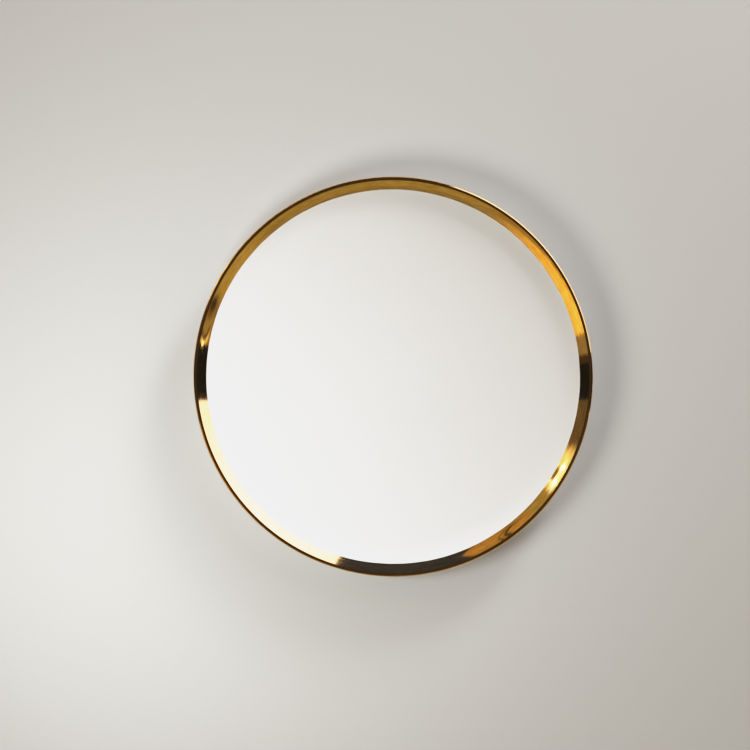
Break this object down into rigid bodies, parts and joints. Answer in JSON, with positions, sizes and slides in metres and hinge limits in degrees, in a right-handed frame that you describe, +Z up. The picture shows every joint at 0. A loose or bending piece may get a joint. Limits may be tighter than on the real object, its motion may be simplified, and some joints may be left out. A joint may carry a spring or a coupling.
{
  "type": "dinner plate",
  "caption": "Round white porcelain dinner plate of coupe shape: gently dished face turned up to a thin lip, bright gold band round the lip, low foot ring underneath.",
  "frame": {"origin": "centre of the plane that the foot ring rests on", "axes": "+Z up along the plate's axis, out of its face; X and Y are alike, because the plate is round"},
  "size_m": [0.27, 0.27, 0.024],
  "materials": {
    "fired_porcelain": "bare fired white body, fine matte grain, shows only on the foot ring's edge",
    "white_glaze": "clear warm white glaze, high gloss",
    "bright_gold": "fired bright gold, mirror gloss with fine brush lines round the rim"
  },
  "bodies": {
    "root": {"porcelain_body": "fired_porcelain", "glaze_coat": "white_glaze", "base_glaze": "white_glaze", "gold_rim_band": "bright_gold"}
  },
  "joints": []
}
